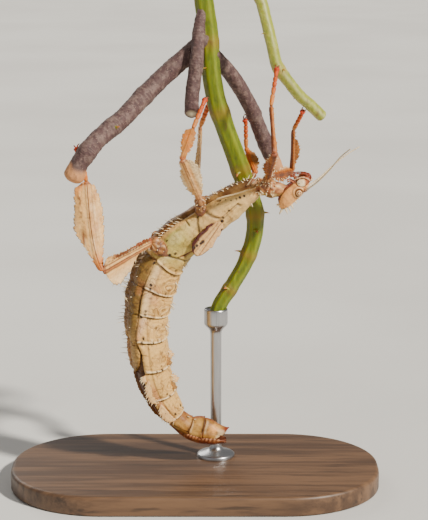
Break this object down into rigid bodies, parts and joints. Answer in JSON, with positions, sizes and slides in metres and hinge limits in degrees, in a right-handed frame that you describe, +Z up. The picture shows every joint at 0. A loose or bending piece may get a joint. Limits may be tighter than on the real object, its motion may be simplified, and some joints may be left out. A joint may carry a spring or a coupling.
{
  "type": "giant prickly stick insect display model",
  "caption": "Life-size still model of an adult female giant prickly stick insect hanging upside down by its feet from cut bramble stems, held over a flat oval base by a short rod.",
  "frame": {"origin": "centre of the underside of the flat display base", "axes": "+Z up; +X from the tail towards the head; -Y out of the animal's left side, which is the side that is shown; the animal's plane of symmetry is y = 0"},
  "size_m": [0.116, 0.066, 0.1617],
  "materials": {
    "cuticle": "waxy cream-tan cuticle with fine wrinkles, dark specks and a faint green tint on the thorax",
    "red_cuticle": "smooth red-brown cuticle, darker at its edges",
    "eye": "glossy tan dome with a darker ring",
    "feeler": "pale jointed feeler, browner towards its tip",
    "wing": "pinkish cream leathery fore wing with a red-brown rim and raised veins",
    "leg": "cream to orange-brown leaf-like cuticle with veins and pink joints",
    "foot": "orange cuticle that turns red at the claws",
    "green_stem": "ribbed yellow-green bramble cane with orange-tipped thorns",
    "pale_stem": "smooth pale green young stem",
    "bark": "purple-brown speckled bark with pale cut ends",
    "base_wood": "dark satin wood",
    "rod_metal": "brushed steel"
  },
  "bodies": {
    "root": {"head": "cuticle", "prothorax": "cuticle", "mesothorax": "cuticle", "metathorax": "cuticle", "abdomen_2": "cuticle", "abdomen_3": "cuticle", "abdomen_4": "cuticle", "abdomen_5": "cuticle", "abdomen_6": "cuticle", "abdomen_7": "cuticle", "abdomen_8": "cuticle", "abdomen_9": "cuticle", "abdomen_10": "cuticle", "operculum": "red_cuticle", "mouthparts": "red_cuticle", "eye_left": "eye", "eye_right": "eye", "antenna_left": "feeler", "antenna_right": "feeler", "tegmen_left": "wing", "tegmen_right": "wing", "coxa_fore_left": "leg", "femur_fore_left": "leg", "tibia_fore_left": "leg", "tarsus_fore_left": "foot", "coxa_fore_right": "leg", "femur_fore_right": "leg", "tibia_fore_right": "leg", "tarsus_fore_right": "foot", "coxa_mid_left": "leg", "femur_mid_left": "leg", "tibia_mid_left": "leg", "tarsus_mid_left": "foot", "coxa_mid_right": "leg", "femur_mid_right": "leg", "tibia_mid_right": "leg", "tarsus_mid_right": "foot", "coxa_hind_left": "leg", "femur_hind_left": "leg", "tibia_hind_left": "leg", "tarsus_hind_left": "foot", "coxa_hind_right": "leg", "femur_hind_right": "leg", "tibia_hind_right": "leg", "tarsus_hind_right": "foot", "perch_cane": "green_stem", "perch_stem_fore": "pale_stem", "perch_twig_hind": "bark", "perch_twig_mid": "bark", "perch_twig_far": "bark", "stand_base": "base_wood", "stand_rod": "rod_metal"}
  },
  "joints": []
}
